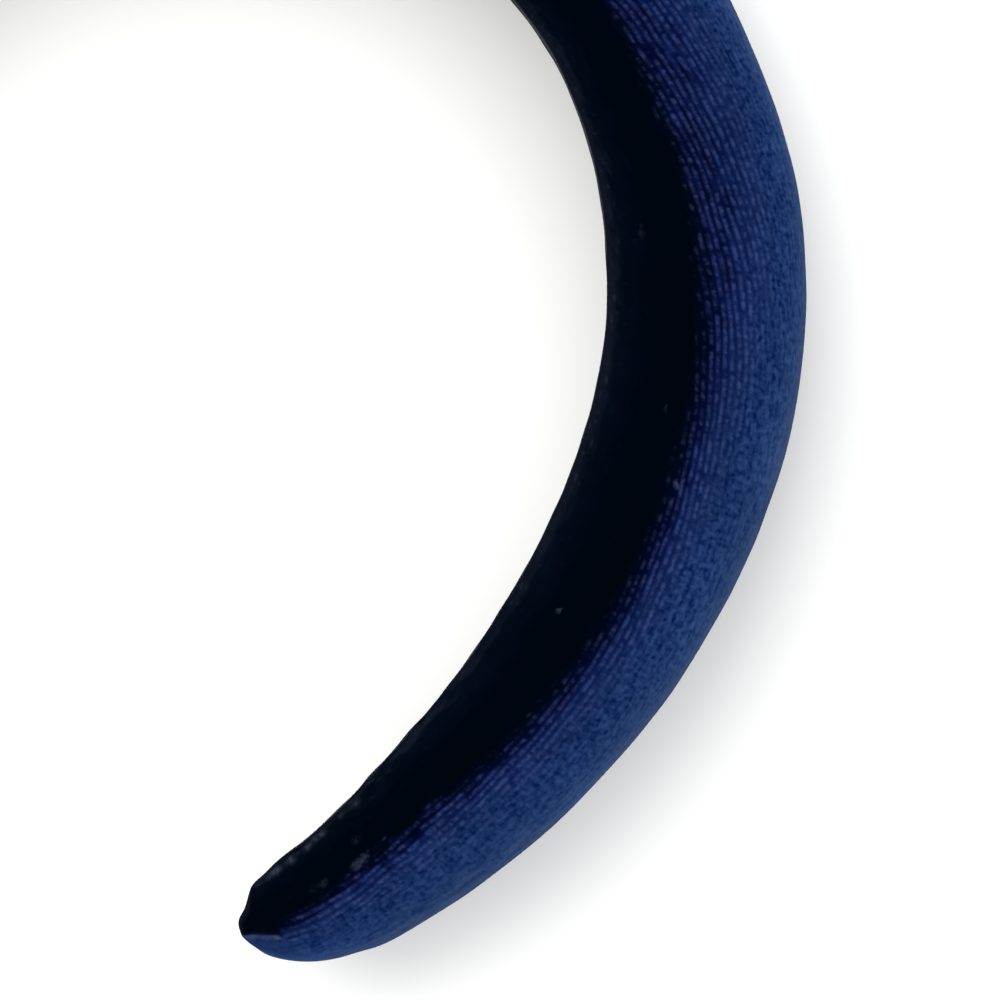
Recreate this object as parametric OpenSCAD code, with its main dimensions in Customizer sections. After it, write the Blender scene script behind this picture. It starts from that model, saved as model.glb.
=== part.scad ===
// A padded velvet headband, lying on its side edge the way it is put down.
// X runs across the band, Y from the two tips up to the crown, and Z is the width of the band.
// The arch is drawn by its inner edge, and every section of the pad stands on that edge.

/* [Arch] */
// Inside width of the arch at its widest level, where it grips the head
inner_w = 113.8; // [100:0.2:128]
// How far the round top goes on below the widest level, in degrees
top_drop = 8.2; // [2:0.2:14]
// Radius of the inner edge along the sides
side_r = 102; // [84:1:130]
// Direction in which the sides pass into the legs, in degrees below level
leg_drop = 38; // [32:0.5:42]
// Radius of the inner edge along the straighter legs
leg_r = 248; // [180:1:400]
// Length of each leg along its inner edge, down to the corner of the tip
leg_len = 28; // [16:0.5:40]

/* [Pad] */
// Depth of the band at the sides, from the head outwards
pad_depth = 25.9; // [20:0.1:32]
// Width of the band over the crown and the sides, which is its height as it lies
band_w = 36; // [30:0.5:44]
// Depth of the blunt end of each tip
tip_depth = 6.8; // [5:0.1:9]
// Width of the blunt end of each tip
tip_w = 15; // [12:0.5:20]
// How far the stuffed end of each tip stands out past its last section
tip_bulge = 0.8; // [0.4:0.1:1.5]
// Rounding of the cover where it turns in under the facing
edge_r = 1.8; // [1:0.1:3]
// Share of the depth at which the pad is widest
belly_share = 0.36; // [0.25:0.01:0.45]
// How much narrower the inner face is than the widest part, as a share of the width
tuck_share = 0.1; // [0.04:0.01:0.16]
// Fullness of the domed outer side, where 2 is an ellipse
dome_power = 2.3; // [2:0.1:3]

/* [Facing] */
// Thickness of the facing strip on the head side
facing_t = 1.2; // [0.8:0.1:2]
// Border of the cover that stays bare on each side of the facing, flush with it
facing_border = 2.2; // [1:0.1:4]
// Distance from the end of the facing to the corner of the tip
facing_end = 3; // [2:0.5:8]
// Rounding of the facing's long edges
facing_edge_r = 0.35; // [0.1:0.05:0.4]
// Glue line between the facing and the cover
glue_gap = 0.15; // [0.1:0.05:0.3]

/* [Hidden] */

// Columns of the table of sections
SHARE = 0;
LEAN = 1;
DEPTH = 2;
WIDTH = 3;
// The sections of one half, from the middle of the crown to the tip. Shares are of half_len,
// pad_depth and band_w, and the last row takes tip_depth and tip_w. The lean turns a section
// towards the blunt end, in degrees, so that the last section lies along that end.
SECTIONS = [
    // share, lean, depth, width
    [0.000,   0, 0.922, 1.000],
    [0.280,   0, 0.925, 1.000],
    [0.350,   0, 0.932, 1.000],
    [0.420,   0, 0.966, 1.000],
    [0.480,   0, 0.988, 1.000],
    [0.550,   0, 1.000, 1.000],
    [0.600,   0, 0.995, 1.000],
    [0.660,   0, 0.971, 1.000],
    [0.730,   0, 0.929, 0.975],
    [0.800,   0, 0.870, 0.925],
    [0.862,   0, 0.799, 0.860],
    [0.885,  -2, 0.766, 0.830],
    [0.907,  -5, 0.728, 0.796],
    [0.930, -11, 0.687, 0.755],
    [0.952, -20, 0.620, 0.705],
    [0.969, -30, 0.542, 0.650],
    [0.983, -40, 0.436, 0.580],
    [0.992, -46, 0.342, 0.505],
    [1.000, -51, tip_depth / pad_depth, tip_w / band_w]
];
LAST = len(SECTIONS) - 1;

// Columns of the table of rings that round off a blunt end
SHRINK = 0;
BULGE = 1;
// How far each ring has shrunk towards the height of the bulge, and its share of tip_bulge
TIP_RINGS = [
    // shrink, bulge
    [0.12, 0.20],
    [0.34, 0.50],
    [0.66, 0.84],
    [0.88, 0.98]
];
// Where the bulge of a blunt end is highest, as a share of tip_depth from the head side
bulge_at = 0.6;

// Steps of the sweep on one half: along the body, along the taper and past the facing's end
body_steps = 34;
taper_steps = 12;
corner_steps = 4;
// Share of the half length at which the taper's closer steps begin
taper_from = 0.88;
// Length over which the seat comes up flush, past the facing's end and out to each side
seat_rise = 0.5;
seat_flare = 0.3;
// Steps along a quarter of the dome, along a side wall and round an edge
dome_steps = 8;
wall_steps = 3;
edge_steps = 2;
// Point across the flat inner face, as a share of its half width
face_point = 0.35;

// Lengths of the inner edge, from the middle of the crown to a tip
top_r = inner_w / 2;
top_len = arc_len(top_r, 90 + top_drop);
side_len = arc_len(side_r, leg_drop - top_drop);
half_len = top_len + side_len + leg_len;

// Centres of the three arcs of the inner edge, each in line with the joint to the one before
top_c = [0, 0];
side_c = top_c + (top_r - side_r) * heading(top_drop);
leg_c = side_c + (side_r - leg_r) * heading(leg_drop);

// Where the facing stops, how deep its seat is let into the inner face of the cover, and the
// width of the lip that stands on each side of the seat
facing_stop = half_len - facing_end;
seat_stop = facing_stop + glue_gap;
seat_depth = facing_t + glue_gap;
lip = facing_border - glue_gap - seat_flare;

function arc_len(r, angle) = PI * r * angle / 180;
function heading(drop) = [cos(drop), -sin(drop)];
function mix(a, b, t) = a + (b - a) * t;
function turned(v, angle) =
    [v[0] * cos(angle) - v[1] * sin(angle), v[0] * sin(angle) + v[1] * cos(angle)];

// Direction that faces away from the head at a length along the inner edge, in degrees below level
function drop_at(s) =
    s < top_len ? s / top_len * (90 + top_drop) - 90
    : s < top_len + side_len ? mix(top_drop, leg_drop, (s - top_len) / side_len)
    : leg_drop + (s - top_len - side_len) / leg_r * 180 / PI;

// Point of the inner edge at a length along it
function edge_at(s) =
    s < top_len ? top_c + top_r * heading(drop_at(s))
    : s < top_len + side_len ? side_c + side_r * heading(drop_at(s))
    : leg_c + leg_r * heading(drop_at(s));

// A column of the table of sections at a share, on a smooth curve through its rows
function row_at(t, i = 0) = i == LAST - 1 || SECTIONS[i + 1][SHARE] > t ? i : row_at(t, i + 1);
function rise(i, j, col) =
    (SECTIONS[j][col] - SECTIONS[i][col]) / (SECTIONS[j][SHARE] - SECTIONS[i][SHARE]);
function slope(i, col) =
    i == 0 ? 0
    : i == LAST ? rise(i - 1, i, col)
    : rise(i - 1, i, col) * rise(i, i + 1, col) <= 0 ? 0
    : rise(i - 1, i + 1, col);
function section_at(t, col) =
    let (i = row_at(t))
    let (run = SECTIONS[i + 1][SHARE] - SECTIONS[i][SHARE])
    let (u = (t - SECTIONS[i][SHARE]) / run)
    (2 * u ^ 3 - 3 * u ^ 2 + 1) * SECTIONS[i][col]
    + (u ^ 3 - 2 * u ^ 2 + u) * run * slope(i, col)
    + (3 * u ^ 2 - 2 * u ^ 3) * SECTIONS[i + 1][col]
    + (u ^ 3 - u ^ 2) * run * slope(i + 1, col);

// How deep the seat of the facing is at a length along the inner edge
function seat_at(s) = seat_depth * min(1, max(0, (seat_stop + seat_rise - s) / seat_rise));

// Half of a section, as [depth, height, sink] points from the seat over its lip, round the edge
// and up the side wall to just short of the crest. The sink lowers a point square to the inner
// edge, however the section leans.
function half_outline(depth, width, seat) =
    let (face = width / 2 * (1 - tuck_share))
    let (r = min(edge_r, lip * 0.9, depth / 5))
    let (belly = belly_share * depth)
    concat(
        [[0, face * face_point, seat], [0, face - lip - seat_flare, seat], [0, face - lip, 0]],
        [for (k = [0:edge_steps])
            let (a = 90 * k / edge_steps)
            [r - r * cos(a), face - r + r * sin(a), 0]],
        [for (k = [1:wall_steps])
            let (u = k / wall_steps)
            [mix(r, belly, u), mix(face, width / 2, 1 - (1 - u) ^ 2), 0]],
        [for (k = [1:dome_steps - 1])
            let (a = 90 * k / dome_steps)
            let (up = [sin(a), cos(a)])
            [mix(belly, depth, up[0] ^ (2 / dome_power)), width / 2 * up[1] ^ (2 / dome_power), 0]]
    );

// A whole section, from the inner face round the lower side, the crest and the upper side
function outline(depth, width, seat) =
    let (half = half_outline(depth, width, seat))
    concat(
        [for (p = half) [p[0], -p[1], p[2]]],
        [[depth, 0, 0]],
        [for (k = [len(half) - 1:-1:0]) half[k]]
    );

// The facing's section, a flat strip with rounded long edges
function strip_outline(width) =
    let (w = width / 2)
    let (e = facing_edge_r)
    [
        [0, e - w, 0], [e, -w, 0], [facing_t - e, -w, 0], [facing_t, e - w, 0],
        [facing_t, w - e, 0], [facing_t - e, w, 0], [e, w, 0], [0, w - e, 0]
    ];

// Places a section on the inner edge. Stations count lengths from the middle of the crown, less
// than zero on the left half.
function placed(s, section, lean) =
    let (side = s < 0 ? -1 : 1)
    let (normal = heading(drop_at(abs(s))))
    let (foot = edge_at(abs(s)))
    let (out = turned(normal, lean))
    [for (p = section)
        let (at = foot + p[2] * normal + p[0] * out)
        [side * at[0], at[1], p[1]]];

function cover_ring(s) =
    let (t = abs(s) / half_len)
    let (section = outline(
        pad_depth * section_at(t, DEPTH), band_w * section_at(t, WIDTH), seat_at(abs(s))))
    placed(s, section, section_at(t, LEAN));

function facing_ring(s) =
    let (face = band_w * section_at(abs(s) / half_len, WIDTH) * (1 - tuck_share))
    placed(s, strip_outline(face - 2 * facing_border), 0);

// The rings that round off the blunt end on one side, -1 left or 1 right, from the outermost in
function tip_rings(side) =
    let (last = cover_ring(side * half_len))
    let (centre = placed(side * half_len, [[bulge_at * tip_depth, 0, 0]], SECTIONS[LAST][LEAN])[0])
    let (out = heading(drop_at(half_len) - SECTIONS[LAST][LEAN]))
    let (outwards = [side * out[1], -out[0], 0])
    [for (k = [len(TIP_RINGS) - 1:-1:0])
        let (row = TIP_RINGS[k])
        [for (p = last) mix(p, centre, row[SHRINK]) + row[BULGE] * tip_bulge * outwards]];

// Stations of the right half, and then of a whole sweep from the left end to the right one
body_stations = [for (k = [0:body_steps - 1]) half_len * taper_from * k / body_steps];
function taper_stations(stop) =
    [for (k = [0:taper_steps]) mix(half_len * taper_from, stop, k / taper_steps)];
corner_stations = [for (k = [0:corner_steps]) mix(seat_stop + seat_rise, half_len, k / corner_steps)];
function both_sides(half) = concat([for (k = [len(half) - 1:-1:1]) -half[k]], half);

right_tip = tip_rings(1);
left_tip = tip_rings(-1);
cover_rings = concat(
    left_tip,
    [for (s = both_sides(concat(body_stations, taper_stations(seat_stop), corner_stations))) cover_ring(s)],
    [for (k = [len(right_tip) - 1:-1:0]) right_tip[k]]
);
facing_rings = [for (s = both_sides(concat(body_stations, taper_stations(facing_stop)))) facing_ring(s)];

// The origin is below the middle of the band, on the surface that it lies on
highest_y = max([for (ring = cover_rings) for (p = ring) p[1]]);
lowest_y = min([for (ring = cover_rings) for (p = ring) p[1]]);
lying = [0, -(highest_y + lowest_y) / 2, band_w / 2];

// Middle of a ring along one axis
function middle(ring, k) = (min([for (p = ring) p[k]]) + max([for (p = ring) p[k]])) / 2;

// A closed skin over rings of equally many points, with a fan of triangles over each end
module skin(rings) {
    n = len(rings[0]);
    m = len(rings);
    ends = [for (ring = [rings[0], rings[m - 1]]) [for (k = [0:2]) middle(ring, k)]];
    points = concat([for (ring = rings) each ring], ends);
    sides = [
        for (i = [0:m - 2])
            for (j = [0:n - 1])
                let (a = i * n + j)
                let (b = i * n + (j + 1) % n)
                each [[a, a + n, b], [b, a + n, b + n]]
    ];
    left_fan = [for (j = [0:n - 1]) [m * n, j, (j + 1) % n]];
    right_fan = [for (j = [0:n - 1]) [m * n + 1, (m - 1) * n + (j + 1) % n, (m - 1) * n + j]];
    polyhedron(points, concat(sides, left_fan, right_fan));
}

// The velvet-covered pad, one full and seamless form from tip to tip
module padded_cover() {
    color("midnightblue")
        translate(lying)
            skin(cover_rings);
}

// The flat strip that faces the head side and covers where the velvet is turned in
module inner_facing() {
    color("#2e3145")
        translate(lying)
            skin(facing_rings);
}

padded_cover();
inner_facing();
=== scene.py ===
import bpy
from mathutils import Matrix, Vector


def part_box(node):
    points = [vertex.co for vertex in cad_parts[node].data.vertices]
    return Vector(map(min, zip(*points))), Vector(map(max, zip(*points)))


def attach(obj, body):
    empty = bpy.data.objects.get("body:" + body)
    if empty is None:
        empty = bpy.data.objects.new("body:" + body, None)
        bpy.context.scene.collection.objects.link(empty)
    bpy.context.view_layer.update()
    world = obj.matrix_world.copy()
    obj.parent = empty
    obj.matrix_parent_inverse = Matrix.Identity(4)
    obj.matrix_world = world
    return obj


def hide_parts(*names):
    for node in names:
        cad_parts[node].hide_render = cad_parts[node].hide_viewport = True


bl_info = {
    "name": "Padded velvet headband",
    "version": (1, 0, 0),
    "blender": (4, 5, 0),
    "location": "View3D > Sidebar > Headband",
    "description": "Dresses the headband with its stuffed velvet cover and its ribbon facing",
    "category": "Object",
}

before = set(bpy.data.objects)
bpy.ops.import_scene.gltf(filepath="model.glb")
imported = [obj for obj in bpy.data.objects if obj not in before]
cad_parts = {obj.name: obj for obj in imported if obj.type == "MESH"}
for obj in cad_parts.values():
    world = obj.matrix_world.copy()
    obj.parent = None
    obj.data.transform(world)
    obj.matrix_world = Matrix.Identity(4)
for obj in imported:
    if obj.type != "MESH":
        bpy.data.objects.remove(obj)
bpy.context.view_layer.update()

import math

import bpy
import numpy as np
from mathutils import Vector, noise

MM = 0.001

# The inner edge of the band, with the values of the CAD model, in mm and degrees: three arcs for
# each half, named top, side and leg from the crown down.
TOP_R = 113.8 / 2
SIDE_R = 102.0
LEG_R = 248.0
TOP_DROP = 8.2
LEG_DROP = 38.0
LEG_LEN = 28.0
FACING_T = 1.2
TOP_LEN = math.radians(90 + TOP_DROP) * TOP_R
SIDE_LEN = math.radians(LEG_DROP - TOP_DROP) * SIDE_R
HALF_LEN = TOP_LEN + SIDE_LEN + LEG_LEN

# Where the arch's centre and the middle of the band's width lie in the frame, in mm
CENTRE_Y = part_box("inner_facing")[1].y / MM - TOP_R - FACING_T
MID_Z = sum(corner.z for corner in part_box("padded_cover")) / 2 / MM

# Points of a section of the cover, counted from its crest: up the dome, along the side wall,
# round the edge and over the lip to the corner of the seat in which the facing lies
DOME_POINTS = 7
WALL_POINTS = 3
EDGE_POINTS = 3
LIP = DOME_POINTS + WALL_POINTS + EDGE_POINTS + 1
SEAT = LIP + 1
# Rings that round off each blunt end
END_RINGS = 4
# Frames for which the cloth simulation fills the cover
STUFFING_FRAMES = 20
# How far the stuffing gives under the band's own weight, in mm
PRESSED = 0.15
# The relief of a tuft and of the bulge by a pinched corner, in mm
TUFT_HEIGHT = 0.12
BULGE_HEIGHT = 0.22

# Places on a blunt end, as mm along the band past the end of the inner edge, and mm of depth: the
# pinched corner, the crease of the tuck from there inwards, and a small bulge by the corner
PINCH = (4.9, 4.9)
CREASE_FROM = (4.6, 4.35)
CREASE_TO = (1.4, 7.25)
BULGE = (4.1, 2.9)

# How far the glued edge strays from its arc, away from the head, in mm
DRIFT_AT = (
    # share of length, mm
    (0.000, 0.20),
    (0.250, 0.20),
    (0.310, 0.48),
    (0.360, 0.26),
    (0.455, -0.10),
    (0.520, 0.24),
    (0.600, 0.46),
    (0.670, 0.22),
    (0.730, -0.02),
    (0.780, 0.02),
    (0.840, 0.04),
    (0.905, 0.40),
    (0.940, 0.34),
    (0.970, 0.12),
    (1.000, 0.00),
)
# Where the painted colour turns from the dark side, painted shade, to the lit side, painted sheen, as
# a share of the band's depth. Past the inner end of a tip's crease it follows the crease to the
# pinched corner.
TURN_AT = (
    # share of length, share of depth
    (0.000, 0.40),
    (0.300, 0.41),
    (0.370, 0.42),
    (0.480, 0.475),
    (0.590, 0.515),
    (0.700, 0.52),
    (0.795, 0.48),
    (0.870, 0.42),
    (0.960, 0.43),
    (0.985, 0.455),
    (1.004, 0.50),
    (1.008, 0.60),
)
# How late the painted sheen of the lit side brightens: past a first strip, the power by which its pile
# turns
SLOW_AT = (
    # share of length, power
    (0.00, 2.40),
    (0.42, 2.40),
    (0.49, 1.60),
    (0.57, 1.00),
    (1.00, 1.00),
)
# How ragged the turn from painted shade to painted sheen is, in shares of the lit side
FRAY_AT = (
    # share of length, raggedness
    (0.00, 0.26),
    (0.40, 0.24),
    (0.52, 0.14),
    (0.78, 0.16),
    (0.87, 0.50),
    (0.95, 0.42),
    (1.00, 0.18),
)
# Where each tone of the pile lies, from -1 at the inner edge over 0 at the turn to 1 on the crest. The
# tones paint the velvet's light: a pale painted sheen along the inner edge, painted shade on the dark
# side, and painted sheen from the turn out to the outer edge, where it is brightest.
TONES_AT = (
    # place, setting of the ground, with _tip for the tips of the pile
    (-1.00, "rim"),
    (-0.95, "rim"),
    (-0.86, "near_rim"),
    (-0.55, "shade"),
    (-0.12, "shade"),
    (0.00, "turn"),
    (0.10, "first_rows"),
    (0.18, "lit_low"),
    (0.34, "lit"),
    (0.52, "lit_mid"),
    (0.68, "lit_far"),
    (0.88, "crest"),
    (1.00, "edge"),
)
# How far the cloth was pulled on askew: what its rows have moved outwards, in mm. They run across
# the shoulder at about one in five and along the band farther down.
ASKEW_AT = (
    # share of length, mm
    (0.00, 0.0),
    (0.11, 0.0),
    (0.20, 0.9),
    (0.28, 3.3),
    (0.56, 13.3),
    (0.62, 14.9),
    (0.81, 18.9),
    (0.87, 19.4),
    (0.90, 19.4),
    (1.00, 18.8),
)
# The brushed-up tufts along the edge of each tip, as mm along the band and mm of depth, with how
# strongly each shows
TUFTS_AT = (
    # length, depth, strength
    (161.3, 0.9, 0.45),
    (163.9, 0.7, 0.25),
    (167.2, 0.8, 0.60),
    (168.4, 0.7, 0.50),
    (169.7, 0.9, 0.70),
    (172.4, 0.8, 0.80),
    (174.8, 0.7, 0.90),
    (175.9, 0.6, 0.40),
)
# Flecks of lint and brushed-up spots on the dark side of the face that lies up, as mm along the
# right half and mm of depth, with the half width of each both ways and how strongly it shows
FLECKS_AT = (
    # length, depth, half length, half depth, strength
    (79.6, 4.5, 0.80, 0.50, 0.14),
    (99.7, 9.6, 0.55, 0.30, 0.14),
    (107.9, 13.8, 0.42, 0.36, 0.90),
    (126.8, 6.5, 0.38, 0.34, 0.45),
    (164.7, 4.7, 0.70, 0.50, 0.13),
    (166.1, 7.1, 1.50, 0.60, 0.58),
    (171.4, 5.9, 0.85, 0.50, 0.19),
    (172.9, 5.6, 0.80, 0.50, 0.09),
)


def heading(drop):
    """Direction away from the head at degrees below level, for the right half."""
    return np.array([math.cos(math.radians(drop)), -math.sin(math.radians(drop))])


TOP_C = np.zeros(2)
SIDE_C = TOP_C + (TOP_R - SIDE_R) * heading(TOP_DROP)
LEG_C = SIDE_C + (SIDE_R - LEG_R) * heading(LEG_DROP)


def band_place(points):
    """Length along the inner edge from the middle of the crown, less than zero on the left, depth
    outwards from that edge and height over the middle of the width, all in mm, and how many
    degrees below level the band faces there."""
    x, y = points[:, 0] / MM, points[:, 1] / MM - CENTRE_Y
    right = np.abs(x)
    drops, depths = [], []
    for centre, radius in ((TOP_C, TOP_R), (SIDE_C, SIDE_R), (LEG_C, LEG_R)):
        drops.append(np.degrees(np.arctan2(centre[1] - y, right - centre[0])))
        depths.append(np.hypot(right - centre[0], y - centre[1]) - radius)
    lengths = (
        np.radians(drops[0] + 90) * TOP_R,
        TOP_LEN + np.radians(drops[1] - TOP_DROP) * SIDE_R,
        TOP_LEN + SIDE_LEN + np.radians(drops[2] - LEG_DROP) * LEG_R,
    )
    on_arc = [drops[0] <= TOP_DROP, drops[1] <= LEG_DROP]
    length, depth, drop = (
        np.select(on_arc, found[:2], found[2]) for found in (lengths, depths, drops)
    )
    return np.where(x < 0, -length, length), depth, points[:, 2] / MM - MID_Z, drop


def away_from_head(length, drop):
    """Direction square to the inner edge, in the frame, at lengths and degrees from band_place."""
    turned = np.radians(drop)
    side = np.where(length < 0, -1.0, 1.0)
    return np.stack([np.cos(turned) * side, -np.sin(turned), np.zeros(len(turned))], -1)


def smooth_step(low, high, value):
    t = np.clip((value - low) / (high - low), 0, 1)
    return t * t * (3 - 2 * t)


def bump(off, reach):
    """1 where off is 0, fading away over about twice the reach on both sides."""
    return np.exp(-((off / reach) ** 2))


def table_at(table, length):
    """A table of this file at lengths along the band, its rows being shares of the half length."""
    rows = np.array(table)
    return np.interp(np.abs(length) / HALF_LEN, rows[:, 0], rows[:, 1])


def beside_crease(length, depth):
    """Share of the way along a tip's crease from its pinched corner, and distance from the crease
    in mm, over zero on the outer side."""
    start, stop = np.array(CREASE_FROM), np.array(CREASE_TO)
    run = stop - start
    past, deeper = np.abs(length) - HALF_LEN - start[0], depth - start[1]
    size = np.hypot(*run)
    return (past * run[0] + deeper * run[1]) / size**2, (past * run[1] - deeper * run[0]) / size


def on_crease(way_in):
    """1 along a tip's crease, fading out past both of its ends."""
    return smooth_step(-0.5, -0.1, way_in) * (1 - smooth_step(0.9, 1.15, way_in))


def linear(hex_colour):
    """Linear RGBA of an sRGB hex colour."""
    channels = [int(hex_colour[k : k + 2], 16) / 255 for k in (1, 3, 5)]
    return [c / 12.92 if c <= 0.04045 else ((c + 0.055) / 1.055) ** 2.4 for c in channels] + [1.0]


def node(tree, kind, values, out=0, **settings):
    """Adds a node with its settings, links or sets its inputs, and returns one of its outputs, or
    the node itself where out is None."""
    made = tree.nodes.new(kind)
    for name, value in settings.items():
        setattr(made, name, value)
    for name, value in values.items():
        if isinstance(value, bpy.types.NodeSocket):
            tree.links.new(value, made.inputs[name])
        else:
            made.inputs[name].default_value = value
    return made if out is None else made.outputs[out]


def new_material(name):
    material = bpy.data.materials.new(name)
    material.use_nodes = True
    material.node_tree.nodes.clear()
    return material


def finish_material(material, piece, shader):
    node(material.node_tree, "ShaderNodeOutputMaterial", {"Surface": shader}, out=None)
    piece.data.materials.append(material)


def deselect_all():
    if bpy.context.object and bpy.context.object.mode != "OBJECT":
        bpy.ops.object.mode_set(mode="OBJECT")
    bpy.ops.object.select_all(action="DESELECT")


def make_active(piece):
    deselect_all()
    piece.select_set(True)
    bpy.context.view_layer.objects.active = piece


def merged_copy(node_name, name):
    """A new object with a CAD node's mesh, its loose triangles merged."""
    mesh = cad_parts[node_name].data.copy()
    mesh.materials.clear()
    mesh.name = name
    piece = bpy.data.objects.new(name, mesh)
    bpy.context.collection.objects.link(piece)
    make_active(piece)
    bpy.ops.object.mode_set(mode="EDIT")
    bpy.ops.mesh.select_all(action="SELECT")
    bpy.ops.mesh.remove_doubles(threshold=1e-6)
    bpy.ops.object.mode_set(mode="OBJECT")
    return piece


def coordinates(mesh, field="co"):
    found = np.empty(len(mesh.vertices) * 3)
    mesh.vertices.foreach_get(field, found)
    return found.reshape(-1, 3)


def set_coordinates(mesh, points):
    mesh.vertices.foreach_set("co", points.ravel())
    mesh.update()


def add_values(mesh, name, values):
    mesh.attributes.new(name, "FLOAT", "POINT").data.foreach_set("value", values)


def values_of(mesh, name):
    found = np.empty(len(mesh.vertices))
    mesh.attributes[name].data.foreach_get("value", found)
    return found


def sections_of(piece, first):
    """The vertices of each section of a swept solid, a row for each from its left end to its right
    one. A row starts at the vertex that first picks and runs round by way of the upper side. The
    middle vertex of each end is in no row."""
    mesh = piece.data
    near = [[] for _ in mesh.vertices]
    for edge in mesh.edges:
        a, b = edge.vertices
        near[a].append(b)
        near[b].append(a)
    height = [v.co.z for v in mesh.vertices]
    most = max(len(found) for found in near)
    ends = [v for v, found in enumerate(near) if len(found) == most]
    left = min(ends, key=lambda v: mesh.vertices[v].co.x)
    done, layer, rows = {left}, set(near[left]), []
    while len(layer) > 1:
        row = [first(mesh, layer)]
        beside = [v for v in near[row[0]] if v in layer]
        row.append(max(beside, key=lambda v: height[v]))
        while len(row) < len(layer):
            row.append(next(v for v in near[row[-1]] if v in layer and v not in row[-2:]))
        rows.append(row)
        done |= layer
        layer = {v for found in row for v in near[found]} - done
    return np.array(rows)


def select_edges(piece, wanted):
    """Leaves the piece in edit mode with the edges selected that wanted picks by their ends."""
    make_active(piece)
    bpy.ops.object.mode_set(mode="EDIT")
    bpy.ops.mesh.select_mode(type="EDGE")
    bpy.ops.mesh.select_all(action="DESELECT")
    bpy.ops.object.mode_set(mode="OBJECT")
    for edge in piece.data.edges:
        edge.select = wanted(*edge.vertices)
    bpy.ops.object.mode_set(mode="EDIT")


def back_to_object_mode():
    bpy.ops.mesh.select_mode(type="VERT")
    bpy.ops.object.mode_set(mode="OBJECT")


def places_in(rows):
    """The section and the column of each vertex of the sections."""
    return {v: (k, c) for k, row in enumerate(rows.tolist()) for c, v in enumerate(row)}


def drop_diagonals(piece, rows):
    """Turns the triangles between neighbouring sections back into quads."""
    place = places_in(rows)

    def is_diagonal(a, b):
        if a not in place or b not in place:
            return False
        return place[a][0] != place[b][0] and place[a][1] != place[b][1]

    select_edges(piece, is_diagonal)
    bpy.ops.mesh.dissolve_edges(use_verts=False)
    back_to_object_mode()


def crease_seat(piece, rows, depth):
    """Keeps the corners of the facing's seat sharp while the rest of the cover is smoothed."""
    place = places_in(rows)
    last = rows.shape[1]
    corners = {LIP, SEAT, last - SEAT, last - LIP}
    sunk = depth[rows[:, SEAT + 1]] > FACING_T / 2
    seat_ends = [k for k in range(1, len(rows)) if sunk[k] != sunk[k - 1]]
    across = set(seat_ends) | {k - 1 for k in seat_ends}

    def is_corner(a, b):
        if a not in place or b not in place:
            return False
        (k, c), (m, d) = place[a], place[b]
        if k == m:
            return k in across and LIP <= min(c, d) and max(c, d) <= last - LIP
        return c == d and c in corners

    select_edges(piece, is_corner)
    bpy.ops.transform.edge_crease(value=1)
    back_to_object_mode()


def lay_weave(piece, rows):
    """Lays the cloth on the cover, before it is smoothed. The UV map named weave holds mm along the
    band and mm round it from the crest, and the attribute rim says how far a point is part of the
    turned-in edge."""
    mesh = piece.data
    points = coordinates(mesh)
    length, depth, height, drop = band_place(points)
    # Lengths on the cloth are measured along a line this many mm out from the inner edge
    line_depth = 15
    along = length + line_depth * np.radians(drop + 90) * np.sign(length)

    # Round each section both ways from the crest, and how far that is from the edge
    columns = rows.shape[1]
    middle = columns // 2
    around = np.zeros(len(points))
    rim = np.zeros(len(points))
    # The columns over which the turned-in edge starts, and those over which it ends
    rim_from, rim_full, rim_to, rim_end = LIP - 6, LIP - 3, LIP - 0.5, LIP + 0.8
    for way in (1, -1):
        ring = rows[:, [way * k % columns for k in range(middle + 1)]]
        steps = np.linalg.norm(np.diff(points[ring], axis=1), axis=2) / MM
        around[ring[:, 1:]] = way * np.cumsum(steps, axis=1)
        k = np.arange(middle + 1)
        rim[ring] = smooth_step(rim_from, rim_full, k) * (1 - smooth_step(rim_to, rim_end, k))

    # Into the tips the rows follow the inner edge rather than the crest, so what the sections lose
    # in girth is lost at the crest, on both faces: from which length on, and which share of it
    taper_from, followed = 147, 0.8
    section_at = np.abs(length[rows[:, 0]])
    girth = around[rows[:, LIP]]
    girth[:END_RINGS], girth[-END_RINGS:] = girth[END_RINGS], girth[-END_RINGS - 1]
    narrower = np.maximum(0, girth[np.argmin(np.abs(section_at - taper_from))] - girth)
    narrower *= smooth_step(taper_from - 10, taper_from + 5, section_at)
    lost = np.zeros(len(points))
    lost[rows] = followed * narrower[:, None]
    askew = table_at(ASKEW_AT, length)

    # Each face loses its own part, so a face below the crest takes the crest's place from there.
    # Both meet in the middle of the seat, where the far side is laid out from the near one.
    column = {v: c for v, (k, c) in places_in(rows).items()}
    layer = mesh.uv_layers.new(name="weave")
    for face in mesh.polygons:
        beside = {column.get(v) for v in face.vertices}
        over_seam = middle in beside and middle + 1 in beside
        for corner in face.loop_indices:
            v = mesh.loops[corner].vertex_index
            below = around[v] < 0 or (column.get(v) == 0 and columns - 1 in beside)
            round_it = around[v] + (-lost[v] if below else lost[v])
            if over_seam and column.get(v) == middle + 1:
                round_it = -round_it + 2 * abs(height[v])
            layer.data[corner].uv = (along[v], round_it + askew[v])
    add_values(mesh, "rim", rim)


def crest_line(piece, rows):
    """Lengths along the band, in order, and the full depth of the band at each, by the crests of
    the sweep without its blunt ends."""
    length, depth = band_place(coordinates(piece.data))[:2]
    crest = rows[END_RINGS:-END_RINGS, 0]
    order = crest[np.argsort(np.abs(length[crest]))]
    return np.abs(length[order]), depth[order]


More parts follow.
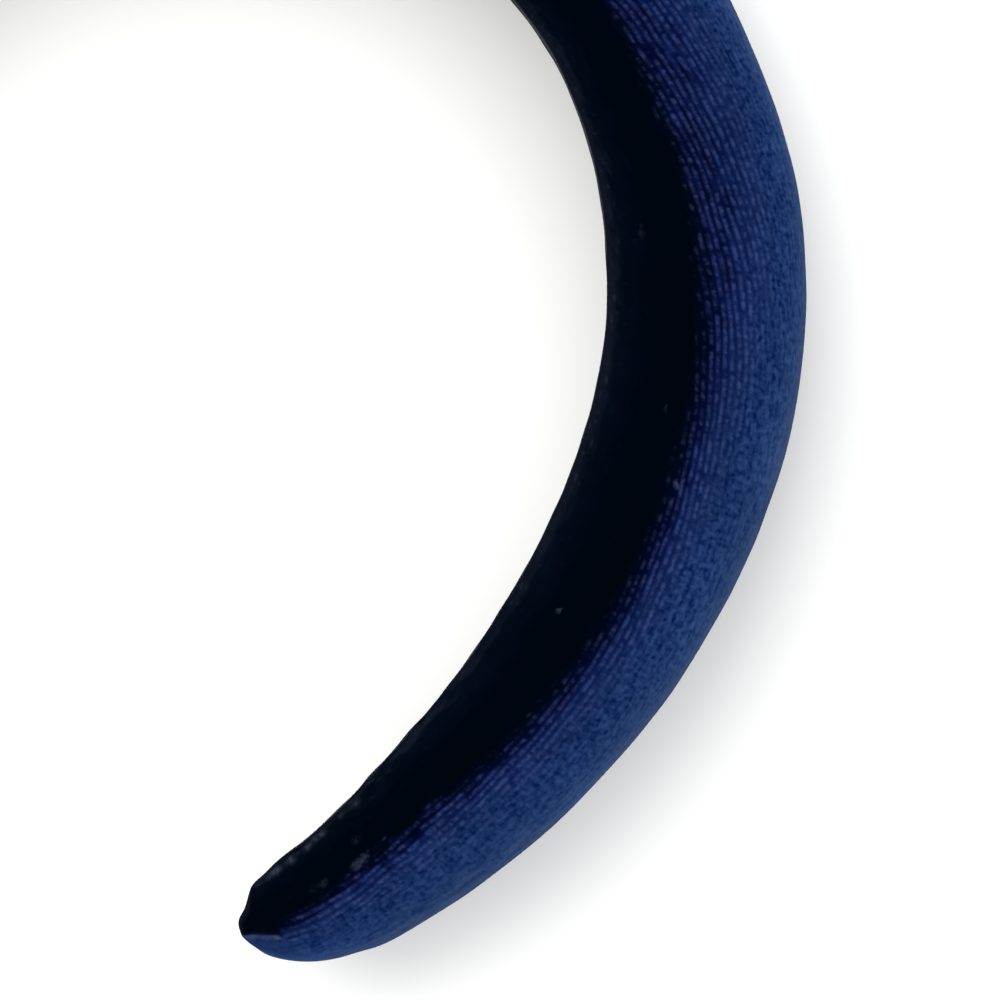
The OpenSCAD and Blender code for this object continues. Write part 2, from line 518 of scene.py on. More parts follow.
def mark_pile(piece, crest):
    """Marks on the smoothed cover the place of its painted shade and sheen, from -1 at the inner edge
    over 0 at the turn to 1 on the crest, how ragged that turn is, and where the cloth is pulled so
    smooth over a blunt end that the knit hardly shows."""
    mesh = piece.data
    length, depth = band_place(coordinates(mesh))[:2]
    along = np.abs(length)
    full = np.interp(along, *crest)
    past = along - HALF_LEN - CREASE_TO[0]
    slope = (CREASE_FROM[1] - CREASE_TO[1]) / (CREASE_FROM[0] - CREASE_TO[0])
    turn = np.where(past > 0, CREASE_TO[1] + slope * past, table_at(TURN_AT, length) * full)
    lit = (depth - turn) / np.maximum(full - turn, 0.5)
    pile = np.clip(np.where(depth > turn, lit, depth / np.maximum(turn, 0.5) - 1), -1, 1)
    # Past a first strip of the lit side its painted sheen rises by a power
    strip = 0.11
    late = np.clip((pile - strip) / (1 - strip), 0, 1) ** table_at(SLOW_AT, length)
    pile = np.where(pile > strip, strip + (1 - strip) * late, pile)

    # Beyond its crease the flap of a tip takes painted sheen at once, to this place between turn and
    # crest
    flap_light = 0.56
    way_in, aside = beside_crease(length, depth)
    on_flap = smooth_step(-0.8, 0.2, past) * smooth_step(0.05, 0.35, aside)
    pile += on_flap * np.maximum(0, flap_light - pile)
    flap = smooth_step(-2.0, 0.5, past) * smooth_step(0.1, 0.9, aside)
    end_face = smooth_step(-2.6, 0.2, past) * (1 - smooth_step(-0.4, 0.1, aside))
    # The end face and, down the sides, the edge get less painted sheen than the edge over the crown,
    # so their places start higher
    end_least, side_least = -0.55, -0.92
    pile = np.maximum(pile, -1 + (1 + end_least) * end_face)
    pile = np.maximum(pile, -1 + (1 + side_least) * smooth_step(105, 130, along))

    # Towards a tip the lit side is brushed smooth, most of all along the outer edge, and so are its
    # flap and its end face, by these shares
    calm_flap, calm_side, calm_hem = 0.6, 0.3, 0.85
    brushed = smooth_step(120, 165, along) * smooth_step(0.35, 0.75, pile)
    hem = smooth_step(HALF_LEN - 16, HALF_LEN - 8, along) * smooth_step(0.8, 0.93, pile)
    calm = np.max([calm_flap * flap, end_face, calm_side * brushed, calm_hem * hem], axis=0)
    for name, values in (
        ("pile_turn", pile),
        ("fray", table_at(FRAY_AT, length)),
        ("calm", calm),
    ):
        add_values(mesh, name, values)


def subdivide(piece, levels):
    make_active(piece)
    smooth = piece.modifiers.new("smooth", "SUBSURF")
    smooth.levels = smooth.render_levels = levels
    bpy.ops.object.modifier_apply(modifier=smooth.name)


def fill_with_stuffing(piece, settings):
    """Blows the cover up from a slightly smaller shape by a short cloth simulation, held where it
    is glued down round the inner side. What the points moved is evened out between neighbours,
    scaled so that the cover is as full as the band on the whole, and kept under a cap."""
    mesh = piece.data
    full = coordinates(mesh)
    length, depth = band_place(full)[:2]
    free = smooth_step(2.0, 6.0, depth)
    free *= 1 - smooth_step(HALF_LEN - 8, HALF_LEN - 2, np.abs(length))
    normals = coordinates(mesh, "normal")
    start = full - normals * (free * settings.slack)[:, None]
    set_coordinates(mesh, start)
    held = piece.vertex_groups.new(name="held")
    for v, share in enumerate(free):
        if share < 1:
            held.add([v], 1 - float(share), "REPLACE")
    make_active(piece)
    cloth = piece.modifiers.new("stuffing", "CLOTH")
    cloth.settings.quality = 6
    cloth.settings.mass = 0.0004
    cloth.settings.tension_stiffness = cloth.settings.compression_stiffness = 6
    cloth.settings.shear_stiffness = 3
    cloth.settings.bending_stiffness = 0.2
    cloth.settings.shrink_min = -settings.fullness
    cloth.settings.use_pressure = True
    cloth.settings.uniform_pressure_force = settings.pressure
    cloth.settings.vertex_group_mass = "held"
    cloth.settings.effector_weights.gravity = 0
    cloth.collision_settings.use_collision = False
    cloth.point_cache.frame_start, cloth.point_cache.frame_end = 1, STUFFING_FRAMES
    for step in range(1, STUFFING_FRAMES + 1):
        bpy.context.scene.frame_set(step)
    evaluated = piece.evaluated_get(bpy.context.evaluated_depsgraph_get())
    move = coordinates(evaluated.data) - start
    pairs = np.array([tuple(edge.vertices) for edge in mesh.edges])
    beside = np.bincount(pairs.ravel(), minlength=len(move))[:, None]
    evening_rounds = 6
    for _ in range(evening_rounds):
        total = np.zeros_like(move)
        np.add.at(total, pairs[:, 0], move[pairs[:, 1]])
        np.add.at(total, pairs[:, 1], move[pairs[:, 0]])
        move = (move + total / beside) / 2
    out = (move * normals).sum(1)
    move *= settings.slack / out[free > 0.9].mean()
    far = np.linalg.norm(move, axis=1)
    move *= np.minimum(1, settings.most_swell / np.maximum(far, 1e-9))[:, None]
    piece.modifiers.remove(cloth)
    piece.vertex_groups.remove(held)
    set_coordinates(mesh, start + move)
    bpy.context.scene.frame_set(1)


def uneven_foam(points, length, depth, rim, settings):
    """How far broad and small unevenness of the foam and puckers of the glued edge raise each
    point."""
    # The size of each in mm, with the share of the small unevenness, and how much the edge puckers
    # over the crown as against the tips
    broad, small, small_share, pucker_size = 17, 6, 0.4, 3.8
    least_pucker = 0.4
    foam = smooth_step(2.0, 8.0, depth)
    wavy = least_pucker + (1 - least_pucker) * smooth_step(120, 145, np.abs(length))
    raised = np.zeros(len(points))
    for v, p in enumerate(points):
        place = Vector(p) / MM
        if foam[v] > 0:
            uneven = noise.noise(place / broad)
            uneven += small_share * noise.noise(place / small + Vector((9, 4, 2)))
            raised[v] += settings.foam_relief * foam[v] * uneven
        if rim[v] > 0:
            pucker = noise.noise(place / pucker_size + Vector((3, 8, 5)))
            raised[v] += settings.edge_wave * rim[v] * wavy[v] * pucker
    return raised


def tuft_strength(length, depth, height, rim):
    """How strongly each point belongs to a tuft. The tufts lie along the edge of both faces of both
    tips, as the table has them on the face that lies up, and a little apart from that elsewhere."""
    half_depth, most_apart = 0.34, 1.5
    tufts = np.zeros(len(length))
    for at, deep, strength in TUFTS_AT:
        half_length = 0.4 + 0.2 * strength
        for side in (-1, 1):
            for face in (-1, 1):
                odd = 0
                if (side, face) != (1, 1):
                    odd = noise.noise(Vector((at, side * 4.1, face * 7.3)))
                near = bump(length * side - at - most_apart * odd, half_length)
                near *= bump(depth - deep, half_depth)
                tufts += strength * near * (np.sign(height) == face)
    return tufts * np.clip(rim * 1.6, 0, 1)


def tuck_relief(length, depth, settings):
    """How far the crease of the tuck sinks each point, and how far the cloth that is pulled over it
    and the bulge by the corner raise it."""
    way_in, aside = beside_crease(length, depth)
    sunk = on_crease(way_in) * smooth_step(-0.05, 0.3, way_in) * settings.crease_depth
    # The cloth beside the crease is this share of it high
    pulled_over = 0.3
    across = pulled_over * bump(aside - 0.9, 0.5) - bump(aside, 0.35)
    bulge = np.hypot(np.abs(length) - HALF_LEN - BULGE[0], depth - BULGE[1])
    return across * sunk + BULGE_HEIGHT * MM * bump(bulge, 1.1)


def edge_drift(length, depth):
    """How far the inner side follows the line of the glued edge, away from the head, in mm, and how
    far the blunt end is drawn in."""
    past = np.abs(length) - HALF_LEN
    drift = table_at(DRIFT_AT, length) * (1 - smooth_step(1.5, 9, depth))
    drift *= 1 - smooth_step(-6, 1, past)
    drawn_in = 0.5
    return drift + drawn_in * bump(past - 2.2, 1.6) * (1 - smooth_step(2.5, 5.5, depth))


def shape_by_hand(piece, settings):
    """What the making left in the cover: foam that isn't quite even, a glued edge that strays and
    puckers, tufts brushed up along the edge near each tip, and a blunt end that is tucked in with
    a crease, a small bulge and a pinched corner."""
    mesh = piece.data
    points = coordinates(mesh)
    length, depth, height, drop = band_place(points)
    normals = coordinates(mesh, "normal")
    rim = values_of(mesh, "rim")
    tufts = tuft_strength(length, depth, height, rim)
    raised = uneven_foam(points, length, depth, rim, settings)
    raised += tufts * TUFT_HEIGHT * MM + tuck_relief(length, depth, settings)
    points = points + normals * raised[:, None]

    # The corner is pinched flat
    corner = np.hypot(np.abs(length) - HALF_LEN - PINCH[0], depth - PINCH[1])
    pinched = 0.35 * (1 - smooth_step(0, 4.5, corner))
    points[:, 2] = MID_Z * MM + height * MM * (1 - pinched) + normals[:, 2] * raised
    points += away_from_head(length, drop) * (edge_drift(length, depth) * MM)[:, None]

    # The band is as wide as its solid, and its fullest stretches are pressed a little flat where
    # they rest
    up = points[:, 2] / MM - MID_Z
    wider = (MID_Z + PRESSED) / np.abs(up).max() - 1
    up *= 1 + wider * smooth_step(1.5, 7, depth)
    points[:, 2] = np.maximum(up + MID_Z, 0) * MM
    set_coordinates(mesh, points)

    # The painted highlight along the crease is palest at its two ends
    way_in, aside = beside_crease(length, depth)
    pale = 0.26 + 0.2 * bump(way_in - 0.12, 0.14) + 0.6 * bump(way_in - 0.93, 0.08)
    add_values(mesh, "tuft", tufts)
    add_values(mesh, "crease", bump(aside - 0.28, 0.2) * on_crease(way_in) * pale)

    # Where each point of the right half's upper face lies; all others are kept far off
    length, depth, height = band_place(points)[:3]
    hidden = np.where((length > 0) & (height > 0), 0, 99)
    spots = mesh.attributes.new("upper_place", "FLOAT_VECTOR", "POINT")
    spots.data.foreach_set("vector", np.stack([length, depth, hidden], -1).ravel())


def cloth_grains(tree, weave):
    """Noises on the cloth, by the size of their grains along and round the band."""
    sizes = (
        # name, mm along, mm round, detail
        ("patches", 17, 11, 2),
        ("ragged", 4.5, 1.3, 2),
        ("wander", 11, 6, 1),
        ("lines", 2.4, 0.8, 1),
        ("cross", 0.8, 2.0, 1),
        ("specks", 0.75, 0.85, 1),
        ("beads", 1.2, 0.8, 1),
    )
    grain = {}
    for name, along_mm, around_mm, detail in sizes:
        # Each is taken from another place of the same noise
        seed = 7.3 * (len(grain) + 1)
        scaled = node(
            tree,
            "ShaderNodeMapping",
            {"Vector": weave, "Location": (seed, -seed, 0), "Scale": (1 / along_mm, 1 / around_mm, 1)},
        )
        grain[name] = node(
            tree,
            "ShaderNodeTexNoise",
            {"Vector": scaled, "Scale": 1.0, "Detail": detail, "Roughness": 0.55},
            noise_dimensions="2D",
        )
    return grain


def knit_rows(tree, settings, grain, weave, place):
    """Rows of the knit, one wale apart, numbered so that each breaks up in its own way. Gives how
    brightly their dashes show and the height across a row."""
    split = node(tree, "ShaderNodeSeparateXYZ", {"Vector": weave}, out=None)
    along, around = split.outputs["X"], split.outputs["Y"]

    # How far a row may wander, and how rough the pile makes its sides, in mm
    wandering, roughened = 0.9, 0.22
    wave = node(
        tree,
        "ShaderNodeMath",
        {0: grain["wander"], 1: wandering, 2: around},
        operation="MULTIPLY_ADD",
    )
    shift = node(
        tree,
        "ShaderNodeMath",
        {0: grain["specks"], 1: roughened, 2: wave},
        operation="MULTIPLY_ADD",
    )
    pitch = settings.wale_pitch / MM
    rows = node(tree, "ShaderNodeMath", {0: shift, 1: pitch}, operation="DIVIDE")
    number = node(tree, "ShaderNodeMath", {0: rows}, operation="FLOOR")

    # Across a row its height is a parabola from 0 at both sides to 1 in the middle
    across = node(tree, "ShaderNodeMath", {0: rows}, operation="FRACT")
    other_way = node(tree, "ShaderNodeMath", {0: 1.0, 1: across}, operation="SUBTRACT")
    arch = node(tree, "ShaderNodeMath", {0: across, 1: other_way}, operation="MULTIPLY")
    ridge = node(tree, "ShaderNodeMath", {0: arch, 1: 4.0}, operation="MULTIPLY")

    # Each row reads another line of one noise, and is slid along it by its own length
    slid_by, lines_apart = 17.31, 5.73
    slid = node(
        tree, "ShaderNodeMath", {0: number, 1: slid_by, 2: along}, operation="MULTIPLY_ADD"
    )
    dash = settings.dash_length / MM
    run = node(tree, "ShaderNodeMath", {0: slid, 1: dash}, operation="DIVIDE")
    apart = node(tree, "ShaderNodeMath", {0: number, 1: lines_apart}, operation="MULTIPLY")
    at_dash = node(tree, "ShaderNodeCombineXYZ", {"X": run, "Y": apart})
    broken = node(
        tree,
        "ShaderNodeTexNoise",
        {"Vector": at_dash, "Scale": 1.0, "Detail": 2.0, "Roughness": 0.55},
        noise_dimensions="2D",
    )

    # A dash is as bright as its noise is strong, is broken up by the specks of the pile, and fades
    # to both sides of its row. Dashes are sparse where the pile turns and run together farther out.
    beading, sparse, crowded, row_sharpness = 0.3, 0.78, 0.50, 2.5
    strong = node(
        tree,
        "ShaderNodeMath",
        {0: grain["beads"], 1: beading, 2: broken},
        operation="MULTIPLY_ADD",
    )
    enough = node(
        tree,
        "ShaderNodeMapRange",
        {"Value": place, "From Min": -0.10, "From Max": 0.14, "To Min": sparse, "To Max": crowded},
    )
    over = node(tree, "ShaderNodeMath", {0: strong, 1: enough}, operation="SUBTRACT")
    lit_dash = node(
        tree,
        "ShaderNodeMapRange",
        {"Value": over, "From Min": -0.14, "From Max": 0.34},
        interpolation_type="SMOOTHSTEP",
    )
    narrow = node(tree, "ShaderNodeMath", {0: ridge, 1: row_sharpness}, operation="POWER")
    row = node(tree, "ShaderNodeMath", {0: lit_dash, 1: narrow}, operation="MULTIPLY")
    grainy = node(
        tree,
        "ShaderNodeMapRange",
        {"Value": grain["specks"], "From Min": 0.3, "From Max": 0.7, "To Min": 0.35, "To Max": 1.4},
    )
    return node(tree, "ShaderNodeMath", {0: row, 1: grainy}, operation="MULTIPLY"), ridge


def pile_light(tree, grain, place, calm, row_light):
    """How brightly the tips of the pile show: in rows by the turn, and farther out, where the rows
    close up, in thin lines, faint cross lines and specks. Where the cloth is calm only the lit side
    shows a little of it."""
    line_share, cross_share, speck_share = 0.30, 0.30, 0.40
    lines = node(tree, "ShaderNodeMath", {0: grain["lines"], 1: line_share}, operation="MULTIPLY")
    hatch = node(
        tree,
        "ShaderNodeMath",
        {0: grain["cross"], 1: cross_share, 2: lines},
        operation="MULTIPLY_ADD",
    )
    fine = node(
        tree,
        "ShaderNodeMath",
        {0: grain["specks"], 1: speck_share, 2: hatch},
        operation="MULTIPLY_ADD",
    )
    speck_light = node(
        tree, "ShaderNodeMapRange", {"Value": fine, "From Min": 0.36, "From Max": 0.65}
    )
    closed_up = node(
        tree,
        "ShaderNodeMapRange",
        {"Value": place, "From Min": 0.1, "From Max": 0.68, "To Min": 0.0, "To Max": 0.9},
        interpolation_type="SMOOTHSTEP",
    )
    knit = node(
        tree,
        "ShaderNodeMix",
        {"Factor": closed_up, "A": row_light, "B": speck_light},
        data_type="FLOAT",
    )
    plain = node(
        tree, "ShaderNodeMapRange", {"Value": place, "From Min": 0.0, "From Max": 0.3, "To Max": 0.4}
    )
    return node(tree, "ShaderNodeMix", {"Factor": calm, "A": knit, "B": plain}, data_type="FLOAT")


def pile_tone(tree, settings, place, light, patches):
    """The colour between the ground and the tips of the pile, by the place from the inner edge out to
    the crest, which paints the velvet's shade and sheen, a little lighter and darker in patches."""
    position = node(
        tree, "ShaderNodeMapRange", {"Value": place, "From Min": -1.0, "From Max": 1.0}
    )
    tones = []
    for ending in ("", "_tip"):
        ramp = node(tree, "ShaderNodeValToRGB", {"Fac": position}, out=None)
        elements = ramp.color_ramp.elements
        while len(elements) < len(TONES_AT):
            elements.new(1.0)
        for element, (at, name) in zip(elements, TONES_AT):
            element.position = (at + 1) / 2
            element.color = getattr(settings, name + ending)
        tones.append(ramp.outputs["Color"])
    cloth = node(
        tree,
        "ShaderNodeMix",
        {"Factor": light, "A": tones[0], "B": tones[1]},
        out="Result",
        data_type="RGBA",
    )
    worn = node(
        tree,
        "ShaderNodeMapRange",
        {"Value": patches, "From Min": 0.3, "From Max": 0.7, "To Min": 0.9, "To Max": 1.1},
    )
    return node(tree, "ShaderNodeVectorMath", {0: cloth, "Scale": worn}, operation="SCALE")


def spot_strength(tree, tufts):
    """How strongly tufts and the few flecks of the upper face show, broken up by clumps of pile. A
    fleck's outline strays by up to half of stray, in mm."""
    clump_size, stray = 0.6 * MM, 1.1
    body = node(tree, "ShaderNodeTexCoord", {}, out="Object")
    clump = node(
        tree,
        "ShaderNodeTexNoise",
        {"Vector": body, "Scale": 1 / clump_size, "Detail": 1.0},
        out=None,
    )
    clumped = node(
        tree,
        "ShaderNodeMapRange",
        {"Value": clump.outputs["Fac"], "From Min": 0.35, "From Max": 0.6, "To Min": 0.35},
    )
    upper = node(tree, "ShaderNodeAttribute", {}, out="Vector", attribute_name="upper_place")
    strayed = node(
        tree,
        "ShaderNodeVectorMath",
        {0: clump.outputs["Color"], 1: (stray, stray, 0), 2: upper},
        operation="MULTIPLY_ADD",
    )
    spots = tufts
    for at, deep, half_length, half_depth, strength in FLECKS_AT:
        off = node(
            tree,
            "ShaderNodeVectorMath",
            {0: strayed, 1: (at + stray / 2, deep + stray / 2, 0)},
            operation="SUBTRACT",
        )
        share = node(
            tree,
            "ShaderNodeVectorMath",
            {0: off, 1: (1 / half_length, 1 / half_depth, 1)},
            operation="MULTIPLY",
        )
        far = node(tree, "ShaderNodeVectorMath", {0: share}, out="Value", operation="LENGTH")
        spot = node(
            tree,
            "ShaderNodeMapRange",
            {"Value": far, "From Min": 0.0, "From Max": 1.4, "To Min": strength, "To Max": 0.0},
            interpolation_type="SMOOTHSTEP",
        )
        spots = node(tree, "ShaderNodeMath", {0: spots, 1: spot}, operation="MAXIMUM")
    return node(tree, "ShaderNodeMath", {0: spots, 1: clumped}, operation="MULTIPLY")


def velvet_material(cover, settings):
    """Stretch velvet: a warp-knit ground with a short cut pile. Its velvet shading is painted into the
    colour by place across the band: painted shade makes the inner part almost black, and painted sheen
    turns the outer part to a soft navy, where the wales of the knit show as rows of broken lavender
    dashes, which close up to fine specks on the crest. The pile scatters light, so it has a soft sheen
    and no mirror-like gloss."""
    material = new_material("navy stretch velvet, cut pile")
    tree = material.node_tree
    weave = node(tree, "ShaderNodeUVMap", {}, uv_map="weave")
    felt = {}
    for name in ("pile_turn", "fray", "calm", "tuft", "crease"):
        felt[name] = node(tree, "ShaderNodeAttribute", {}, out="Fac", attribute_name=name)
    grain = cloth_grains(tree, weave)

    # The turn from painted shade to painted sheen wanders by a row or two, so each point has a place
    # from -1 to 1
    swing = node(tree, "ShaderNodeMath", {0: grain["ragged"], 1: 0.5}, operation="SUBTRACT")
    place = node(
        tree,
        "ShaderNodeMath",
        {0: swing, 1: felt["fray"], 2: felt["pile_turn"]},
        operation="MULTIPLY_ADD",
    )
    row_light, ridge = knit_rows(tree, settings, grain, weave, place)
    light = pile_light(tree, grain, place, felt["calm"], row_light)
    cloth = pile_tone(tree, settings, place, light, grain["patches"])

    # The crease of the tuck gets a painted highlight, and the tufts and the flecks are drawn in the
    # colour of lint
    creased = node(
        tree,
        "ShaderNodeMix",
        {"Factor": felt["crease"], "A": cloth, "B": settings.crease_highlight},
        out="Result",
        data_type="RGBA",
    )
    coloured = node(
        tree,
        "ShaderNodeMix",
        {"Factor": spot_strength(tree, felt["tuft"]), "A": creased, "B": settings.lint},
        out="Result",
        data_type="RGBA",
    )

    # The lit tips stand up, and the rows half as much where the cloth isn't calm
    flat = node(tree, "ShaderNodeMath", {0: felt["calm"], 1: ridge}, operation="MULTIPLY")
    standing = node(tree, "ShaderNodeMath", {0: ridge, 1: flat}, operation="SUBTRACT")
    raised = node(
        tree, "ShaderNodeMath", {0: standing, 1: 0.5, 2: light}, operation="MULTIPLY_ADD"
    )
    pile_height = 0.06 * MM
    relief = node(
        tree, "ShaderNodeBump", {"Strength": 0.5, "Distance": pile_height, "Height": raised}
    )
    shader = node(
        tree,
        "ShaderNodeBsdfPrincipled",
        {
            "Base Color": coloured,
            "Roughness": 0.95,
            "Specular IOR Level": 0.0,
            "Sheen Weight": 0.03,
            "Sheen Roughness": 0.3,
            "Sheen Tint": linear("#a8aed0"),
            "Normal": relief,
        },
    )
    finish_material(material, cover, shader)


def ribbon_material(facing, settings):
    """Grosgrain ribbon: a fine warp over thick weft, so ribs run across it. The filament yarn gives
    each rib a weak gloss; in the colour each rib has a painted highlight and the grooves between the
    ribs painted shade."""
    material = new_material("dark navy grosgrain ribbon")
    tree = material.node_tree
    weave = node(tree, "ShaderNodeUVMap", {}, uv_map="weave")
    groove = node(tree, "ShaderNodeAttribute", {}, out="Fac", attribute_name="groove")
    # The warp is 0.12 mm apart, and is drawn twice as coarse so that it shows. Each noise has the
    # size of its grains along and across the ribbon in mm.
    grain = {}
    for name, along_mm, across_mm in (("warp", 1.8, 0.24), ("cloudy", 14, 7)):
        scaled = node(
            tree, "ShaderNodeMapping", {"Vector": weave, "Scale": (1 / along_mm, 1 / across_mm, 1)}
        )
        grain[name] = node(
            tree,
            "ShaderNodeTexNoise",
            {"Vector": scaled, "Scale": 1.0, "Detail": 1.0},
            noise_dimensions="2D",
        )
    # Painted shade darkens the grooves between the ribs, and a painted highlight lightens the ribs
    dark = node(tree, "ShaderNodeMapRange", {"Value": groove, "To Min": 1.15, "To Max": 0.5})
    thread = node(
        tree,
        "ShaderNodeMapRange",
        {"Value": grain["warp"], "From Min": 0.3, "From Max": 0.7, "To Min": 0.8, "To Max": 1.2},
    )
    cloudy = node(
        tree,
        "ShaderNodeMapRange",
        {"Value": grain["cloudy"], "From Min": 0.3, "From Max": 0.7, "To Min": 0.85, "To Max": 1.15},
    )
    tone = node(tree, "ShaderNodeMath", {0: dark, 1: thread}, operation="MULTIPLY")
    toned = node(tree, "ShaderNodeMath", {0: tone, 1: cloudy}, operation="MULTIPLY")
    coloured = node(
        tree, "ShaderNodeVectorMath", {0: settings.ribbon[:3], "Scale": toned}, operation="SCALE"
    )
    thread_height = 0.04 * MM
    relief = node(
        tree,
        "ShaderNodeBump",
        {"Strength": 0.35, "Distance": thread_height, "Height": grain["warp"]},
    )
    shader = node(
        tree,
        "ShaderNodeBsdfPrincipled",
        {
            "Base Color": coloured,
            "Roughness": 0.8,
            "Specular IOR Level": 0.1,
            "Normal": relief,
        },
    )
    finish_material(material, facing, shader)


def length_setting(name, description, millimetres, most):
    return bpy.props.FloatProperty(
        name=name,
        description=description,
        default=millimetres * MM,
        min=0,
        max=most * MM,
        precision=5,
        subtype="DISTANCE",
        unit="LENGTH",
    )


def colour_setting(name, description, hex_colour):
    return bpy.props.FloatVectorProperty(
        name=name,
        description=description,
        default=linear(hex_colour),
        size=4,
        min=0,
        max=1,
        subtype="COLOR",
    )


class HeadbandSettings(bpy.types.PropertyGroup):
    """Sizes and colours that a user would change."""

    wale_pitch: length_setting("Wale pitch", "Distance between two rows of the knit", 0.95, 3)
    dash_length: length_setting("Dash length", "Length over which a row breaks up", 1.3, 6)
    slack: length_setting("Slack", "How much smaller the cover is before it is stuffed", 0.3, 3)
    most_swell: length_setting("Most swell", "Farthest that stuffing may move a point", 0.6, 3)
    foam_relief: length_setting("Foam relief", "Unevenness of the foam under the velvet", 0.25, 2)
    edge_wave: length_setting("Edge wave", "Puckers of the turned-in edge", 0.35, 2)
    crease_depth: length_setting("Crease depth", "Depth of the tuck at each tip", 0.35, 1)
    rib_pitch: length_setting("Rib pitch", "Distance between two ribs of the ribbon", 0.75, 3)
    rib_height: length_setting("Rib height", "Height of the ribs of the ribbon", 0.07, 0.3)
    pressure: bpy.props.FloatProperty(
        name="Stuffing", description="Pressure that fills the cover", default=30.0, min=0, max=500
    )
    fullness: bpy.props.FloatProperty(
        name="Fullness",
        description="How much cloth there is over what the slack cover needs",
        default=0.003,
        min=0,
        max=0.2,
        subtype="FACTOR",
    )
    # The tones of the velvet paint its light: a pale painted sheen along the edge, painted shade on
    # the dark side, and painted sheen from the turn out to the outer edge
    rim: colour_setting("Edge", "Ground along the turned-in edge", "#0a0e17")
    rim_tip: colour_setting("Edge, tips", "Pile tips along that edge", "#1b202c")
    near_rim: colour_setting("Beside the edge", "Ground next to that edge", "#02060f")
    near_rim_tip: colour_setting("Beside the edge, tips", "Pile tips next to it", "#050b17")
    shade: colour_setting("Dark side", "Ground seen along the lean of the pile", "#000309")
    shade_tip: colour_setting("Dark side, tips", "Pile tips seen along their lean", "#01040d")
    turn: colour_setting("Turn", "Ground where the pile turns", "#000411")
    turn_tip: colour_setting("Turn, dashes", "First dashes where the pile turns", "#1a1e37")
    first_rows: colour_setting("First rows", "Ground of the first rows", "#010521")
    first_rows_tip: colour_setting("First rows, dashes", "Dashes of the first rows", "#1e2448")
    lit_low: colour_setting("Lit side, start", "Ground where the lit side starts", "#050f35")
    lit_low_tip: colour_setting("Lit side, start, dashes", "Dashes there", "#1f2d54")
    lit: colour_setting("Lit side", "Ground of the lit side", "#05163d")
    lit_tip: colour_setting("Lit side, dashes", "Dashes of the lit side", "#26355e")
    lit_mid: colour_setting("Lit side, middle", "Ground half way out", "#00123a")
    lit_mid_tip: colour_setting("Lit side, middle, dashes", "Dashes half way out", "#213661")
    lit_far: colour_setting("Lit side, far", "Ground near the crest", "#031843")
    lit_far_tip: colour_setting("Lit side, far, specks", "Specks near the crest", "#243a66")
    crest: colour_setting("Crest", "Ground out on the crest", "#132954")
    crest_tip: colour_setting("Crest, specks", "Specks out on the crest", "#2a4067")
    edge: colour_setting("Outer edge", "Ground along the widest line", "#283a5c")
    edge_tip: colour_setting("Outer edge, specks", "Specks along that line", "#344466")
    # A painted highlight along the crease of each tip
    crease_highlight: colour_setting("Crease", "Pile that stands up in the crease of a tip", "#3c4658")
    lint: colour_setting("Lint", "Flecks of lint and brushed-up tufts", "#323646")
    ribbon: colour_setting("Ribbon", "Ribbon of the facing", "#161b2a")
    floor: colour_setting("Floor", "Paper that the band lies on", "#f4f4f2")


class OBJECT_OT_velvet_cover(bpy.types.Operator):
    """Adds the stuffed velvet cover over the whole band"""

    bl_idname = "object.velvet_cover"
    bl_label = "Velvet cover"

    def execute(self, context):
        settings = context.scene.headband
        cover = merged_copy("padded_cover", "velvet_cover")

        def on_crest(mesh, layer):
            return min(layer, key=lambda v: abs(mesh.vertices[v].co.z / MM - MID_Z))

        rows = sections_of(cover, on_crest)
        drop_diagonals(cover, rows)
        lay_weave(cover, rows)
        crest = crest_line(cover, rows)
        crease_seat(cover, rows, band_place(coordinates(cover.data))[1])
        subdivide(cover, 1)
        fill_with_stuffing(cover, settings)
        subdivide(cover, 1)
        mark_pile(cover, crest)
        shape_by_hand(cover, settings)
        make_active(cover)
        bpy.ops.object.shade_smooth()
        velvet_material(cover, settings)
        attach(cover, "root")
        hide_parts("padded_cover")
        return {"FINISHED"}


class OBJECT_OT_ribbon_facing(bpy.types.Operator):
    """Adds the ribbon on the head side of the band"""

    bl_idname = "object.ribbon_facing"
    bl_label = "Ribbon facing"

    def execute(self, context):
        settings = context.scene.headband
        facing = merged_copy("inner_facing", "ribbon_facing")
        depth = band_place(coordinates(facing.data))[1]

        def outer_top(mesh, layer):
            return max(layer, key=lambda v: mesh.vertices[v].co.z / MM + depth[v] / 2)

        rows = sections_of(facing, outer_top)
        drop_diagonals(facing, rows)
        place = places_in(rows)

        def runs_along(a, b):
            return a in place and b in place and place[a][0] != place[b][0]

        # Cuts across each stretch between two sections, enough to raise the ribs
        rib_cuts = 17
        select_edges(facing, runs_along)
        bpy.ops.mesh.subdivide(number_cuts=rib_cuts)
        back_to_object_mode()
        mesh = facing.data
        points = coordinates(mesh)
        length, depth, height, drop = band_place(points)
        wave = 0.5 - 0.5 * np.cos(2 * math.pi * length * MM / settings.rib_pitch)
        on_face = 1 - smooth_step(0.3, 0.8, depth)
        out = away_from_head(length, drop)
        drift = table_at(DRIFT_AT, length) * MM
        lift = on_face * wave * settings.rib_height
        set_coordinates(mesh, points + out * (drift + lift)[:, None])
        add_values(mesh, "groove", wave * on_face)
        layer = mesh.uv_layers.new(name="weave")
        for loop, corner in zip(mesh.loops, layer.data):
            v = loop.vertex_index
            corner.uv = (length[v], height[v])
        make_active(facing)
        bpy.ops.object.shade_smooth_by_angle(angle=math.radians(50))
        ribbon_material(facing, settings)
        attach(facing, "root")
        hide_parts("inner_facing")
        return {"FINISHED"}


